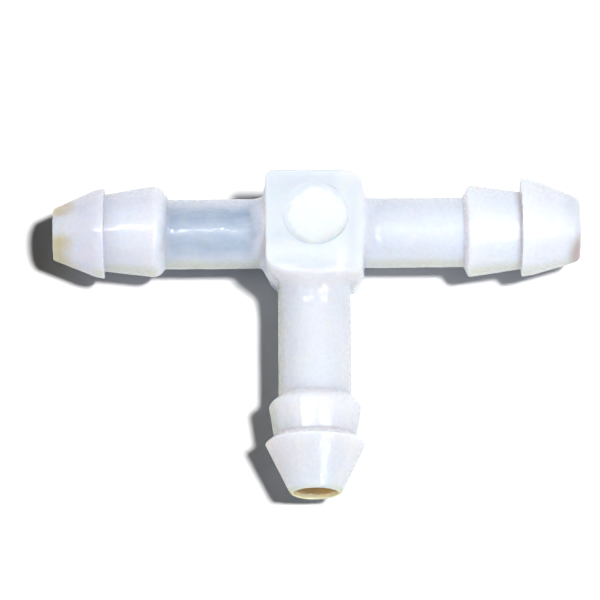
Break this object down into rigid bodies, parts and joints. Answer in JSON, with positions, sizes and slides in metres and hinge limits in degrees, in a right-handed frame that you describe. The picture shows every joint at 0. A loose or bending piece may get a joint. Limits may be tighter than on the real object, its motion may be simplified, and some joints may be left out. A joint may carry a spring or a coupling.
{
  "type": "barbed tee connector",
  "caption": "One-piece milky plastic tee for 4 mm bore micro hose: square hub with an open tee-shaped waterway and double-barbed arms.",
  "frame": {"origin": "centre of the hub's flat back face, straight below the point where the run and branch axes cross", "axes": "+X along the run towards the right arm, -Y along the branch, +Z out of the back face towards the hub's front face"},
  "size_m": [0.0309, 0.0191, 0.006],
  "materials": {
    "natural_plastic": "unpigmented milky plastic, slightly translucent, soft gloss"
  },
  "bodies": {
    "root": {"hub": "natural_plastic", "left_stem": "natural_plastic", "left_inner_barb": "natural_plastic", "left_tip_barb": "natural_plastic", "right_stem": "natural_plastic", "right_inner_barb": "natural_plastic", "right_tip_barb": "natural_plastic", "branch_stem": "natural_plastic", "branch_inner_barb": "natural_plastic", "branch_tip_barb": "natural_plastic"}
  },
  "joints": []
}
